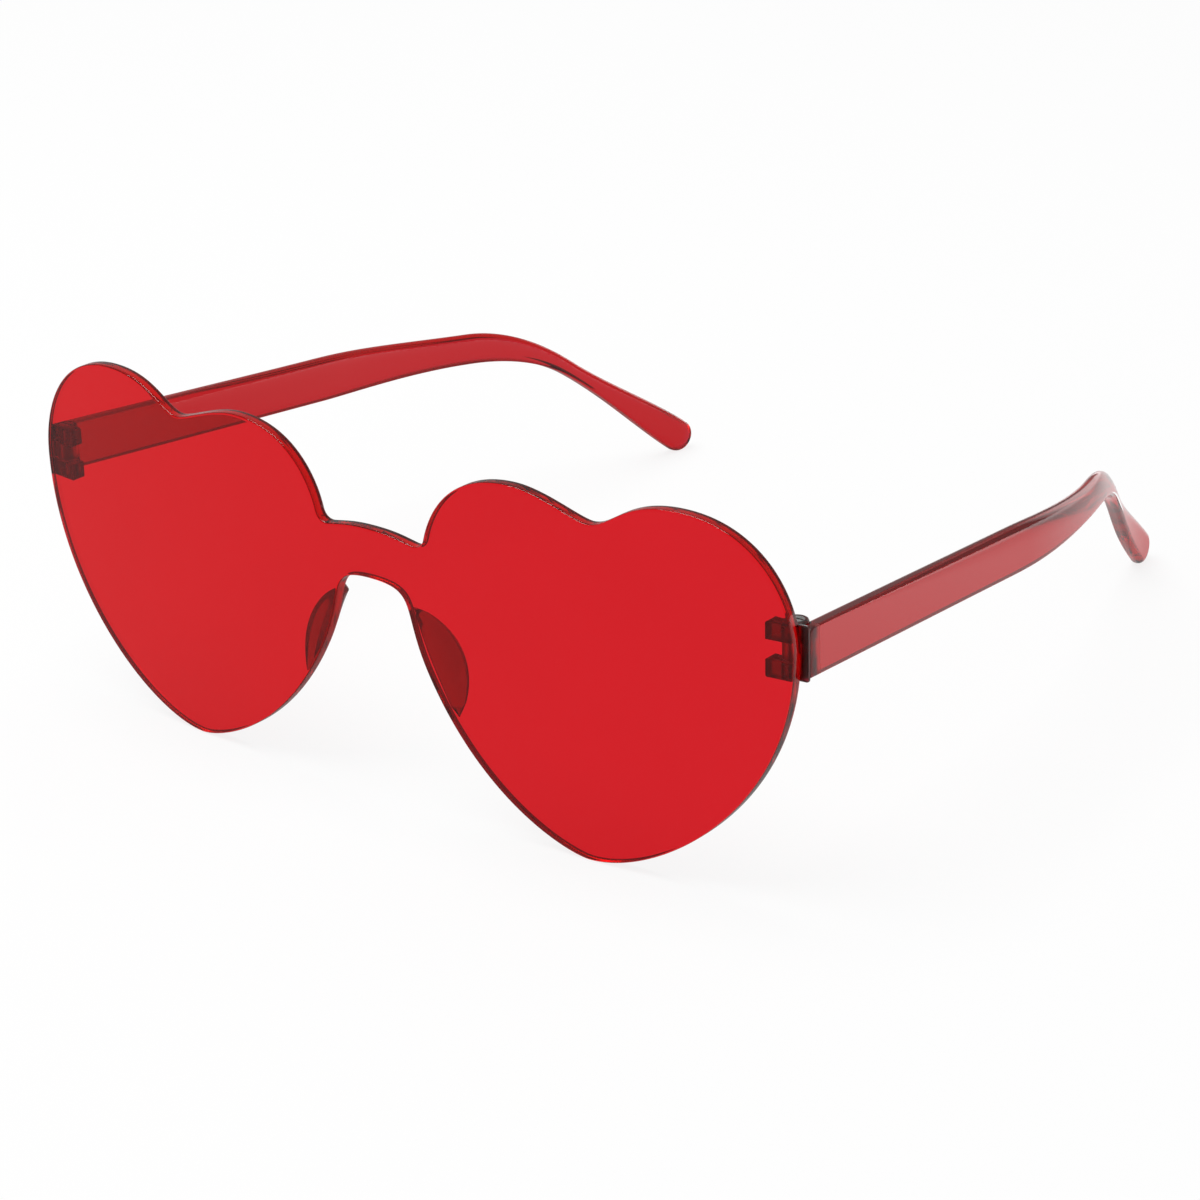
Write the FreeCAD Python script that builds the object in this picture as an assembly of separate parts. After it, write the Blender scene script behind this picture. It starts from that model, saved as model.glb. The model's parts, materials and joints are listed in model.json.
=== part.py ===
"""Rimless heart-shaped sunglasses: a one-piece tinted shield with two folding temples.

The shield is drawn upright, with the heart tips at height zero, the mirror plane at x = 0 and
the front of the bridge at y = 0. The temples run back along +Y and +X is the wearer's left.
At the end the whole assembly leans back until heart tips and temple tips stand on one plane.
"""

import FreeCAD, Part
import math
import os

Vec = FreeCAD.Vector

# Shield, sizes in millimetres
lens_width = 146.0
lens_thickness = 2.0
lens_base_radius = 550.0
lens_edge_bevel = 0.5
outer_lobe_height = 57.2
outer_lobe_spacing = 109.3
inner_lobe_height = 55.7
inner_lobe_spacing = 52.9
cleft_height = 52.5
cleft_spacing = 80.0
widest_height = 39.2
tip_spacing = 78.0
flank_height = 22.8
flank_spacing = 20.7
flank_angle = 117.5

# Bridge between the hearts
bridge_top_height = 43.4
bridge_depth = 7.9
bridge_corner_spacing = 20.0
bridge_corner_drop = 1.2
bridge_corner_radius = 2.0
bridge_top_angle = -9.7
bridge_corner_angle = 75.6

# Handle lengths of the outline's curves, as shares of each curve's chord
handle_shares = (
    (0.50, 0.30),
    (0.41, 0.41),
    (0.29, 0.50),
    (0.38, 0.16),
    (0.24, 0.58),
    (0.49, 0.32),
    (0.46, 0.23),
    (0.10, 0.56),
    (0.64, 0.56),
)

# Nose pads, D-shaped and crowned, seated on the back of the shield along the flanks
pad_length = 17.7
pad_bulge = 3.4
pad_depth = 3.2
pad_end_depth = 0.7
pad_lean_angle = 27.6
pad_flare_angle = 38.0
pad_side = 0.7
pad_rise = 1.7
pad_foot = 1.4

# Hinge: a block with two ears on the shield, one tongue on the temple, one screw
hinge_rise = -0.1
block_height = 8.4
block_edge_bevel = 0.35
block_shoulder = 1.5
knuckle_radius = 1.7
tongue_height = 2.7
tongue_play = 0.15
knuckle_clearance = 0.25
knuckle_lens_gap = 0.3
butt_forward = 1.2
butt_gap = 0.1
screw_radius = 0.7
screw_running_fit = 0.05
screw_seat_fit = 0.02
screw_head_radius = 1.15
screw_head_height = 0.7
screw_slot_width = 0.35
screw_slot_depth = 0.35

# Temple: side view follows a straight run, a bend and a tail with a rounded paddle
temple_overhang = 1.0
temple_thickness = 2.5
temple_front_wall = 1.1
temple_drop_angle = 4.3
temple_straight = 90.6
temple_bend_radius = 34.4
temple_bend_angle = 34.3
temple_tail = 32.1
temple_front_height = 7.6
temple_mid_height = 7.5
temple_bend_height = 5.3
temple_waist_height = 2.7
temple_tip_radius = 2.9
temple_corner_cut = 0.6
temple_edge_bevel = 0.7

# Temple in plan: straight run, inward curve, short run, outward curve into the tail
temple_toe_in_angle = 2.9
ear_toe_in_angle = 21.8
tail_toe_in_angle = 11.0
temple_curve_start = 61.7
temple_curve_gap = 18.6
temple_curve_radius = 110.0

# Places of the temple's named heights along its middle line, and of the points between them
height_place_shares = (0.0, 0.40, 0.63, 0.79)
edge_place_shares = (0.0, 0.2, 0.4, 0.52, 0.6, 0.66, 0.72, 0.79, 0.88)

# One overrun serves every cut and every shape that another one trims
overrun = 5.0
quarter_turn_angle = 90.0

# A face counts as an outer one when this share of its unit normal points outward
outer_face_share = 0.5

lens_back_radius = lens_base_radius - lens_thickness
hinge_height = widest_height + hinge_rise
tongue_half = tongue_height / 2
slot_half = tongue_half + tongue_play
temple_outer = lens_width / 2 + temple_overhang
temple_inner = temple_outer - temple_thickness
hinge_x = temple_outer - temple_front_wall - knuckle_clearance - knuckle_radius
hinge_reach = lens_back_radius - knuckle_radius - knuckle_lens_gap
hinge_y = lens_base_radius - math.sqrt(hinge_reach ** 2 - hinge_x ** 2)
butt_y = hinge_y - butt_forward
temple_front = butt_y + butt_gap
temple_length = temple_straight + temple_bend_radius * math.radians(temple_bend_angle) + temple_tail


def outward(angle):
    """Unit vector in the shield's upright plane, angle in degrees from +X towards +Z."""
    return Vec(math.cos(math.radians(angle)), 0, math.sin(math.radians(angle)))


def in_front(angle):
    """Unit vector in plan, angle in degrees from +Y towards the mirror plane."""
    return Vec(-math.sin(math.radians(angle)), math.cos(math.radians(angle)), 0)


def beside(angle):
    """Unit vector in plan, a quarter turn outward of in_front for the same angle."""
    return Vec(math.cos(math.radians(angle)), math.sin(math.radians(angle)), 0)


def back_of_lens(x):
    """Depth of the shield's back face at a distance x from the mirror plane."""
    return lens_base_radius - math.sqrt(lens_back_radius ** 2 - x ** 2)


def upright_cylinder(radius, x, y, low, high):
    """Cylinder about a line parallel to +Z, between two heights."""
    return Part.makeCylinder(radius, high - low, Vec(x, y, low))


def bezier(start, start_angle, end, end_angle, shares):
    """Cubic edge between two points with given directions at both ends."""
    chord = start.distanceToPoint(end)
    curve = Part.BezierCurve()
    first = start + outward(start_angle) * (shares[0] * chord)
    last = end - outward(end_angle) * (shares[1] * chord)
    curve.setPoles([start, first, last, end])
    return curve.toShape()


def outline_anchors():
    """Points and directions of the left half of the shield, from bridge top to bridge bottom."""
    corner = Vec(bridge_corner_spacing / 2, 0, bridge_top_height - bridge_corner_drop)
    turn = math.radians(bridge_corner_angle - bridge_top_angle)
    reach = bridge_corner_radius * math.tan(turn / 2)
    return [
        (Vec(0, 0, bridge_top_height), 0),
        (corner - outward(bridge_top_angle) * reach, bridge_top_angle),
        (corner + outward(bridge_corner_angle) * reach, bridge_corner_angle),
        (Vec(inner_lobe_spacing / 2, 0, inner_lobe_height), 0),
        (Vec(cleft_spacing / 2, 0, cleft_height), 0),
        (Vec(outer_lobe_spacing / 2, 0, outer_lobe_height), 0),
        (Vec(lens_width / 2, 0, widest_height), -90),
        (Vec(tip_spacing / 2, 0, 0), 180),
        (Vec(flank_spacing / 2, 0, flank_height), flank_angle),
        (Vec(0, 0, bridge_top_height - bridge_depth), 180),
    ]


def outline_prism(front, back):
    """Both hearts and the bridge as one upright outline, swept from one depth to another."""
    anchors = outline_anchors()
    half = []
    for (start, leaving), (end, arriving), shares in zip(anchors, anchors[1:], handle_shares):
        half.append(bezier(start, leaving, end, arriving, shares))
    mirrored = [edge.mirror(Vec(0, 0, 0), Vec(1, 0, 0)) for edge in half]
    wire = Part.Wire(Part.__sortEdges__(half + mirrored))
    face = Part.Face(wire)
    face.translate(Vec(0, front, 0))
    return face.extrude(Vec(0, back - front, 0))


def behind_lens():
    """Everything behind the shield's back face, which is the inside of its back cylinder."""
    top = outer_lobe_height + overrun
    return upright_cylinder(lens_back_radius, 0, lens_base_radius, -overrun, top)


def lens_shield():
    """The outline prism kept between the front and back cylinders, with bevelled rims."""
    top = outer_lobe_height + overrun
    prism = outline_prism(-overrun, back_of_lens(lens_width / 2) + overrun)
    front_body = upright_cylinder(lens_base_radius, 0, lens_base_radius, -overrun, top)
    sheet = prism.common(front_body).cut(behind_lens())
    rims = []
    for face in sheet.Faces:
        if isinstance(face.Surface, Part.Cylinder) and face.Surface.Radius >= lens_back_radius:
            rims.extend(face.OuterWire.Edges)
    return sheet.Solids[0].makeChamfer(lens_edge_bevel, rims)


def nose_pad():
    """D-shaped pad: a disc cut by the flank, crowned along its length and flared off the nose."""
    outward_dir = outward(pad_lean_angle)
    along = outward(pad_lean_angle - quarter_turn_angle)
    middle = Vec(flank_spacing / 2 + pad_side, 0, flank_height + pad_rise)
    half_length = pad_length / 2
    disc_radius = (half_length ** 2 + pad_bulge ** 2) / (2 * pad_bulge)
    seat = back_of_lens(middle.x)
    deepest = seat + pad_depth
    centre = middle - outward_dir * (disc_radius - pad_bulge)
    disc = Part.makeCylinder(disc_radius, deepest + overrun, centre - Vec(0, overrun, 0), Vec(0, 1, 0))
    pad = outline_prism(0, deepest + overrun).common(disc).common(behind_lens())
    crown = pad_depth - pad_end_depth
    crown_radius = (half_length ** 2 + crown ** 2) / (2 * crown)
    crown_axis = middle + Vec(0, deepest - crown_radius, 0) - outward_dir * disc_radius
    pad = pad.common(Part.makeCylinder(crown_radius, 2 * disc_radius, crown_axis, outward_dir))
    foot = middle - outward_dir * pad_foot + Vec(0, seat, 0)
    depth = pad_depth + overrun
    lean = outward_dir * (depth * math.tan(math.radians(pad_flare_angle)))
    clear = outward_dir * disc_radius
    corners = [foot, foot + lean + Vec(0, depth, 0), foot + Vec(0, depth, 0) - clear, foot - clear]
    section = Part.Face(Part.makePolygon(corners + corners[:1]))
    section.translate(along * -pad_length)
    return pad.cut(section.extrude(along * (2 * pad_length))).Solids[0]


def hinge_block():
    """Ears round the hinge line, on a base with an inner shoulder and a butt for the temple."""
    low = hinge_height - block_height / 2
    ear_inner = Vec(hinge_x - knuckle_radius, hinge_y, low)
    ear_back = Vec(hinge_x, hinge_y + knuckle_radius, low)
    ear_outer = Vec(hinge_x + knuckle_radius, hinge_y, low)
    inner = ear_inner.x - block_shoulder
    front = hinge_y - knuckle_radius - overrun
    rest = [
        Vec(ear_outer.x, butt_y, low),
        Vec(temple_outer, butt_y, low),
        Vec(temple_outer, front, low),
        Vec(inner, front, low),
        Vec(inner, hinge_y, low),
        ear_inner,
    ]
    edges = [Part.Arc(ear_inner, ear_back, ear_outer).toShape()]
    for start, end in zip([ear_outer] + rest, rest):
        edges.append(Part.makeLine(start, end))
    body = Part.Face(Part.Wire(edges)).extrude(Vec(0, 0, block_height))
    level = [edge for edge in body.Edges if edge.BoundBox.ZLength < block_edge_bevel]
    body = body.makeChamfer(block_edge_bevel, level)
    slot_width = hinge_x + knuckle_radius + knuckle_clearance - inner + overrun
    slot_length = hinge_y + knuckle_radius + overrun - front
    slot_corner = Vec(inner - overrun, front, hinge_height - slot_half)
    body = body.cut(Part.makeBox(slot_width, slot_length, 2 * slot_half, slot_corner))
    top = low + block_height
    bore = upright_cylinder(screw_radius + screw_seat_fit, hinge_x, hinge_y, low - overrun, top + overrun)
    head_bore = screw_head_radius + screw_seat_fit
    recess = upright_cylinder(head_bore, hinge_x, hinge_y, top - screw_head_height, top + overrun)
    return body.cut(bore).cut(recess).common(behind_lens()).Solids[0]


def hinge_screw():
    """Slotted screw through ears and tongue, flush with the top and the bottom of the block."""
    low = hinge_height - block_height / 2
    top = low + block_height
    shank = upright_cylinder(screw_radius, hinge_x, hinge_y, low, top)
    head = upright_cylinder(screw_head_radius, hinge_x, hinge_y, top - screw_head_height, top)
    slot_length = 2 * (screw_head_radius + overrun)
    slot_corner = Vec(hinge_x - slot_length / 2, hinge_y - screw_slot_width / 2, top - screw_slot_depth)
    slot = Part.makeBox(slot_length, screw_slot_width, screw_slot_depth + overrun, slot_corner)
    return shank.fuse(head).removeSplitter().cut(slot).Solids[0]


def side_station(place):
    """Point and upward normal of the temple's middle line, in the plane x = 0, at a distance along it."""
    turn = math.radians(temple_drop_angle)
    along = Vec(0, math.cos(turn), -math.sin(turn))
    above = Vec(0, math.sin(turn), math.cos(turn))
    point = Vec(0, temple_front, hinge_height) + along * min(place, temple_straight)
    if place <= temple_straight:
        return point, above
    bend_length = temple_bend_radius * math.radians(temple_bend_angle)
    bent = min(place - temple_straight, bend_length) / temple_bend_radius
    centre = point - above * temple_bend_radius
    above = Vec(0, math.sin(turn + bent), math.cos(turn + bent))
    along = Vec(0, math.cos(turn + bent), -math.sin(turn + bent))
    left_over = max(place - temple_straight - bend_length, 0)
    return centre + above * temple_bend_radius + along * left_over, above


def temple_height(place):
    """Height of the temple at a distance along its middle line, eased between the named heights."""
    heights = [temple_front_height, temple_mid_height, temple_bend_height, temple_waist_height]
    heights.append(2 * temple_tip_radius)
    places = [share * temple_length for share in height_place_shares]
    places.append(temple_length - temple_tip_radius)
    for start, end, low, high in zip(places, places[1:], heights, heights[1:]):
        if place <= end:
            part = (place - start) / (end - start)
            return low + (high - low) * part * part * (3 - 2 * part)
    return heights[-1]


def spline(points):
    """Smooth edge through points."""
    curve = Part.BSplineCurve()
    curve.interpolate(points)
    return curve.toShape()


def temple_side():
    """Side view of the temple as a prism across X, with the cut corner at its front top."""
    places = [share * temple_length for share in edge_place_shares]
    places.append(temple_length - temple_tip_radius)
    upper = []
    lower = []
    for place in places:
        point, above = side_station(place)
        upper.append(point + above * (temple_height(place) / 2))
        lower.append(point - above * (temple_height(place) / 2))
    tip = side_station(temple_length)[0]
    upper[0] = Vec(0, temple_front, upper[0].z)
    lower[0] = Vec(0, temple_front, lower[0].z)
    round_end = Part.Arc(upper[-1], tip, lower[-1]).toShape()
    front = Part.makeLine(lower[0], upper[0])
    face = Part.Face(Part.Wire([front, spline(upper), round_end, spline(lower[::-1])]))
    face.translate(Vec(-overrun, 0, 0))
    side = face.extrude(Vec(temple_outer + 2 * overrun, 0, 0))
    corner = min(side.Edges, key=lambda edge: (edge.CenterOfMass.y, -edge.CenterOfMass.z))
    return side.makeChamfer(temple_corner_cut, [corner])


def plan_edges(step):
    """Edges of one face of the temple in plan, at a step outward of its middle line."""
    headings = (temple_toe_in_angle, ear_toe_in_angle, tail_toe_in_angle)
    runs = (temple_curve_start + overrun, temple_curve_gap)
    front = Vec(temple_outer - temple_thickness / 2, temple_front, 0)
    point = front - in_front(headings[0]) * overrun + beside(headings[0]) * step
    edges = []
    for heading, following, run in zip(headings, headings[1:], runs):
        end = point + in_front(heading) * run
        edges.append(Part.makeLine(point, end))
        reach = math.copysign(temple_curve_radius, following - heading) + step
        centre = end - beside(heading) * reach
        middle = centre + beside((heading + following) / 2) * reach
        point = centre + beside(following) * reach
        edges.append(Part.Arc(end, middle, point).toShape())
    edges.append(Part.makeLine(point, point + in_front(headings[-1]) * temple_length))
    return edges


def temple_plan():
    """Plan view of the temple as a prism along Z, between its outer and its inner face."""
    outer = plan_edges(temple_thickness / 2)
    inner = plan_edges(-temple_thickness / 2)
    front = Part.makeLine(outer[0].firstVertex().Point, inner[0].firstVertex().Point)
    back = Part.makeLine(outer[-1].lastVertex().Point, inner[-1].lastVertex().Point)
    face = Part.Face(Part.Wire(Part.__sortEdges__(outer + inner + [front, back])))
    low = -temple_length
    face.translate(Vec(0, 0, low))
    return face.extrude(Vec(0, 0, hinge_height + block_height - low))


def outer_edges(body):
    """Edges round the temple's outer face, without those at its front and the seams within it."""
    faces = []
    for face in body.Faces:
        u_low, u_high, v_low, v_high = face.ParameterRange
        normal = face.normalAt((u_low + u_high) / 2, (v_low + v_high) / 2)
        if normal.x > outer_face_share:
            faces.append(face)
    edges = []
    for face in faces:
        for edge in face.Edges:
            owners = [other for other in faces if any(edge.isSame(mine) for mine in other.Edges)]
            if len(owners) == 1 and edge.BoundBox.YMax > temple_front + 2 * temple_corner_cut:
                edges.append(edge)
    return edges


def temple():
    """Side and plan views crossed and bevelled, with ear recesses and the hinge tongue in front."""
    body = temple_side().common(temple_plan()).Solids[0]
    body = body.makeChamfer(temple_edge_bevel, outer_edges(body)).Solids[0]
    low = hinge_height - tongue_half
    high = hinge_height + tongue_half
    recess_radius = knuckle_radius + knuckle_clearance
    mouth_length = hinge_y - temple_front + overrun
    for bottom, top in ((low - block_height, low), (high, high + block_height)):
        mouth_corner = Vec(hinge_x, hinge_y - mouth_length, bottom)
        mouth = Part.makeBox(recess_radius, mouth_length, top - bottom, mouth_corner)
        body = body.cut([upright_cylinder(recess_radius, hinge_x, hinge_y, bottom, top), mouth])
    neck_width = recess_radius + temple_front_wall / 2
    neck_length = hinge_y + knuckle_radius - temple_front
    neck = Part.makeBox(neck_width, neck_length, tongue_height, Vec(hinge_x, temple_front, low))
    knuckle = upright_cylinder(knuckle_radius, hinge_x, hinge_y, low, high)
    body = body.fuse([neck, knuckle]).removeSplitter()
    bore = upright_cylinder(screw_radius + screw_running_fit, hinge_x, hinge_y, low - overrun, high + overrun)
    return body.cut(bore).Solids[0]


def standing_lean():
    """Angle in degrees that brings the temple tips down to the level of the heart tips."""
    tip = side_station(temple_length - temple_tip_radius)[0]
    support = back_of_lens(tip_spacing / 2) - lens_edge_bevel
    reach = math.hypot(tip.y - support, tip.z)
    return math.degrees(math.acos(temple_tip_radius / reach) - math.atan2(tip.y - support, tip.z))


def assembly():
    """All nodes by name, leaned to stand and moved so that the box's bottom centre is the origin."""
    nodes = {"lens_shield": lens_shield()}
    for make in (nose_pad, hinge_block, hinge_screw, temple):
        shape = make()
        nodes[make.__name__ + "_left"] = shape
        nodes[make.__name__ + "_right"] = shape.mirror(Vec(0, 0, 0), Vec(1, 0, 0))
    lean = standing_lean()
    for shape in nodes.values():
        shape.rotate(Vec(0, 0, 0), Vec(1, 0, 0), -lean)
    box = Part.makeCompound(list(nodes.values())).optimalBoundingBox(False, False)
    for shape in nodes.values():
        shape.translate(Vec(0, -(box.YMin + box.YMax) / 2, -box.ZMin))
    return nodes


os.makedirs("parts", exist_ok=True)
for node, solid in assembly().items():
    solid.exportStep("parts/" + node + ".step")
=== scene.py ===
"""Rimless heart-shaped sunglasses in clear red plastic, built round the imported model.

The shield, the nose pads, the hinges and the temples are surfaces worked out on grids. They are
drawn in the upright frame of the shield: x = 0 is the mirror plane, y = 0 the front of the bridge,
z = 0 the level of the heart tips. The function stand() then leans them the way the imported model
stands, which it reads from the line of the left hinge.
"""

import json
import math

import bmesh
import bpy
import numpy as np
from bpy.props import FloatProperty, FloatVectorProperty, IntProperty, PointerProperty
from mathutils import Matrix, Vector


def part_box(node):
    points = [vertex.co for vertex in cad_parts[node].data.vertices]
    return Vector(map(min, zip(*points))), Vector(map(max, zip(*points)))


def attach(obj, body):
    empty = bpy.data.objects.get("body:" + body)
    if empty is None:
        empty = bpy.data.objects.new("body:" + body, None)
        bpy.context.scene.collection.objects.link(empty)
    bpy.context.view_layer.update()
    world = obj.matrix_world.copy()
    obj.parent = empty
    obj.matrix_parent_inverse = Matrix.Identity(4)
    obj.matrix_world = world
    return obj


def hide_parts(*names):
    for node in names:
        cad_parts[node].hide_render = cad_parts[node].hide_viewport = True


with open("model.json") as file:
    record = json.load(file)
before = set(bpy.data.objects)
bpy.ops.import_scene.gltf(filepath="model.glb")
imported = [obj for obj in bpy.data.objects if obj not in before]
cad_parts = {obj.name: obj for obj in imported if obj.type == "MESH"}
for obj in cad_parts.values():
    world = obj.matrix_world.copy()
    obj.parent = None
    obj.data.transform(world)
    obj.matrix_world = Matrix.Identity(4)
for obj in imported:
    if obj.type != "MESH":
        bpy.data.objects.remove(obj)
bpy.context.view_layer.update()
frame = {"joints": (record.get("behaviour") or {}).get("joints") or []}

bl_info = {
    "name": "Heart Sunglasses",
    "version": (1, 0, 0),
    "blender": (4, 5, 0),
    "location": "View3D > Sidebar > Sunglasses",
    "description": "Builds rimless heart-shaped sunglasses in clear red plastic",
    "category": "Add Mesh",
}

SHIELD_LOW, SHIELD_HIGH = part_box("lens_shield")
LEFT_FOLD = next(joint for joint in frame["joints"] if joint["name"] == "left_fold")
HINGE_POINT = np.array(LEFT_FOLD["pos_m"])
HINGE_LINE = np.array(LEFT_FOLD["axis"])
SIDES = (("left", 1.0), ("right", -1.0))
# Point mark of the rim's back edge, which the material makes matt and paints dark as shade
MATT_EDGE_SHADE = "cut_edge"

# Points nearer than this become one, and edges sharper than the crease stay sharp
MERGE = 2e-7
CREASE = math.radians(32.0)

# Gaps in metres: under the pads and hinge blocks, round the screw in block and temple, and under the part
BOND = 1.5e-5
BLOCK_BORE_PLAY = 0.00002
TONGUE_BORE_PLAY = 0.00005
FLOOR_GAP = 2e-5

# Small edges in metres: the tongue's round, the step behind its foot, and the screw's bevel
TONGUE_ROUND = 0.00012
TONGUE_STEP = 0.0002
SCREW_BEVEL = 0.00012

# How far the tongue's root reaches into the temple, and how far cutting tools reach past what they cut
TONGUE_ROOT = 0.0007
SLOT_REACH = 0.006
OVERRUN = 0.001

# The overhead softbox
SOFTBOX_SIZE = 1.1
SOFTBOX_PLACE = (-0.25, -0.2, 1.2)

# Points of each outline curve, and columns, rows and rim steps of the shield's grid
CURVE_POINTS = 600
SHIELD_COLUMNS = 320
FACE_ROWS = 9
RIM_STEPS = 6

# Margins on the faces beside the rim, and how far the cut edge, matt and painted dark as shade, reaches on to
# the back, in edge radii
FACE_MARGINS = (3.0, 1.5)
SHADE_EDGE_REACH = 1.2

# Points round a circle in plan, round a turned piece and along a half circle
CIRCLE_POINTS = 40
LATHE_POINTS = 48
ARC_POINTS = 40

# Length at the temple's front with closer rings, where the rings turn from upright to square
FRONT_ZONE = 0.012

# Rings along the temple's front, run and tip, points round each of its edges and across its sides
FRONT_RINGS = 26
RUN_RINGS = 150
TIP_RINGS = 26
EDGE_POINTS = 12
SIDE_POINTS = 7

# Bevel of the temple's front face and where its rings stand, as shares of the corner cut
FRONT_BEVELS = (0.4, 0.12)
FRONT_BEVEL_PLACES = (0.15, 0.4)

# Where the temple's inner rounds start to ease towards the tip's, in tip radii from its end
TIP_EASE = 6

# Nose pad: rings along it, points at each corner of its section and how far along its sides they start
PAD_RINGS = 61
PAD_CORNER_POINTS = 9
PAD_CORNER_SHARES = (0.2, 0.42, 0.42, 0.2)

# Nose pad: how far it reaches past its foot in metres, least share of its width for the crown, end taper
PAD_SKIRT = 0.001
PAD_CROWN_SHARE = 0.15
PAD_END_TAPER = 3.0

# Noises of the finishes: cells per metre and detail
CLOUD_NOISE = (60.0, 2.0)
SMUDGE_NOISE = (140.0, 4.0)
RIPPLE_NOISE = (90.0, 1.0)
TURNING_NOISE = (900.0, 3.0)
DULL_NOISE = (1800.0, 2.0)

# Relief of the finishes: strength and height in metres
MOULD_RELIEF = (0.004, 0.001)
TURNING_RELIEF = (0.15, 0.00002)

# Marks between which the cut edge's matt finish and painted shade begin and are full, and length of the matt
# zone's border
MATT_AND_SHADE_BLEND = (0.75, 1.0)
MATT_BORDER = 0.0003

# Left half of the heart outline in metres: x, z and direction in degrees, from the top of the
# bridge to its rounded corner, and from the inner lobe round to the bottom of the bridge.
BRIDGE_TOP = (0.0, 0.0434, 0.0)
BRIDGE_CORNER = (0.010, 0.0422)
BRIDGE_CORNER_RADIUS = 0.002
BRIDGE_DIRECTIONS = (-9.7, 75.6)
HEART_POINTS = (
    (0.02645, 0.0557, 0.0),
    (0.04, 0.0525, 0.0),
    (0.05465, 0.0572, 0.0),
    (0.073, 0.0392, -90.0),
    (0.039, 0.0, 180.0),
    (0.01035, 0.0228, 117.5),
    (0.0, 0.0355, 180.0),
)
HEART_HANDLE_SHARES = (
    (0.50, 0.30),
    (0.41, 0.41),
    (0.29, 0.50),
    (0.38, 0.16),
    (0.24, 0.58),
    (0.49, 0.32),
    (0.46, 0.23),
    (0.10, 0.56),
    (0.64, 0.56),
)
TOP_SPANS = 6

# Places along the temple, as shares of its length, at which its named heights stand
HEIGHT_PLACE_SHARES = (0.0, 0.40, 0.63, 0.79)


def metres(name, description, default):
    """A setting for one size."""
    return FloatProperty(name=name, description=description, default=default, unit="LENGTH")


def metres_each(name, description, default):
    """A setting for a row of sizes."""
    size = len(default)
    return FloatVectorProperty(name=name, description=description, default=default, size=size, unit="LENGTH")


def degrees(name, description, default):
    """A setting for an angle, given in degrees."""
    return FloatProperty(name=name, description=description, default=math.radians(default), subtype="ANGLE")


def portion(name, description, default):
    """A setting for a share of something."""
    return FloatProperty(name=name, description=description, default=default, subtype="FACTOR")


def shade(name, description, default):
    """A setting for a colour."""
    return FloatVectorProperty(name=name, description=description, default=default, size=3, subtype="COLOR")


def figure(name, description, default):
    """A setting for a plain number."""
    return FloatProperty(name=name, description=description, default=default)


def figures(name, description, default):
    """A setting for a row of plain numbers."""
    return FloatVectorProperty(name=name, description=description, default=default, size=len(default))


class ShieldSettings(bpy.types.PropertyGroup):
    """Sizes of the one-piece heart shield."""

    width: metres("Width", "Width over both hearts", SHIELD_HIGH.x - SHIELD_LOW.x)
    thickness: metres("Thickness", "Thickness of the sheet", 0.002)
    base_radius: metres("Base radius", "Radius of the sheet's front face in plan", 0.55)
    # The dark cut edge is painted shade on the rim's back edge, which is also matt
    shade_edge_from: figures(
        "Cut from",
        "Share of the thickness at which the dark cut edge starts, on top and below",
        (0.5, 0.87),
    )
    rim_round: metres_each(
        "Rim round", "Radius of the polished rim's edges, in front and behind", (0.0003, 0.0003)
    )


class TempleSettings(bpy.types.PropertyGroup):
    """Sizes of the two temples."""

    thickness: metres("Thickness", "Thickness of a temple seen from above", 0.0025)
    overhang: metres("Overhang", "How far a temple stands outside the shield", 0.001)
    straight: metres("Straight run", "Length from the hinge to the ear bend", 0.0906)
    bend_radius: metres("Bend radius", "Radius of the ear bend", 0.0344)
    bend: degrees("Bend", "Angle of the ear bend", 34.3)
    tail: metres("Tail", "Length from the ear bend to the tip", 0.0321)
    drop: degrees("Drop", "Slope of the straight run", 4.3)
    heights: metres_each(
        "Heights",
        "Height at the hinge, along the run, at the bend and at the waist",
        (0.0076, 0.0075, 0.0053, 0.0027),
    )
    tip_radius: metres("Tip radius", "Radius of the rounded paddle", 0.0029)
    inner_round: metres_each(
        "Inner round",
        "Radius of the long edges towards the head, at the top and at the bottom",
        (0.0012, 0.00035),
    )
    tip_round: metres("Tip round", "Radius of the edge towards the head, round the tip", 0.0009)
    upper_round: metres_each(
        "Upper round",
        "Width of the outer top edge's round at the hinge, along the run, at bend, waist and tip",
        (0.0004, 0.0011, 0.00125, 0.00125, 0.0013),
    )
    upper_drop: metres_each(
        "Upper drop",
        "Height of the outer top edge's round at the same places",
        (0.0003, 0.0030, 0.0038, 0.0020, 0.0013),
    )
    lower_round: metres_each(
        "Lower round",
        "Radius of the outer bottom edge at the same places",
        (0.0004, 0.0004, 0.0009, 0.0012, 0.0013),
    )
    corner_cut: metres("Corner cut", "Cut at the front top corner", 0.0006)
    toe_in: degrees("Toe in", "Inward turn of the run", 2.9)
    ear_toe_in: degrees("Ear toe in", "Inward turn at the ear", 21.8)
    tail_toe_in: degrees("Tail toe in", "Inward turn of the tail", 11.0)
    curve_start: metres("Curve start", "Length in plan ahead of the inward curve", 0.0617)
    curve_gap: metres("Curve gap", "Length in plan between the two curves", 0.0186)
    curve_radius: metres("Curve radius", "Radius of both curves in plan", 0.11)


class PadSettings(bpy.types.PropertyGroup):
    """Sizes of the nose pads."""

    length: metres("Length", "Length along the flank of the heart", 0.0177)
    bulge: metres("Bulge", "Width of the D seen from the front", 0.0034)
    depth: metres("Depth", "How far the middle stands behind the shield", 0.0032)
    end_depth: metres("End depth", "How far the ends stand behind the shield", 0.0007)
    lean: degrees("Lean", "Angle of the D's axis from level", 27.6)
    flare: degrees("Flare", "Angle of the face that meets the nose", 38.0)
    middle: metres_each("Middle", "Middle of the D's chord, across and up", (0.01105, 0.0245))
    inset: metres("Inset", "How far the pad stays behind the flank's edge", 0.0001)
    foot: metres("Foot", "Where the flared face meets the shield", 0.0014)


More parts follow.
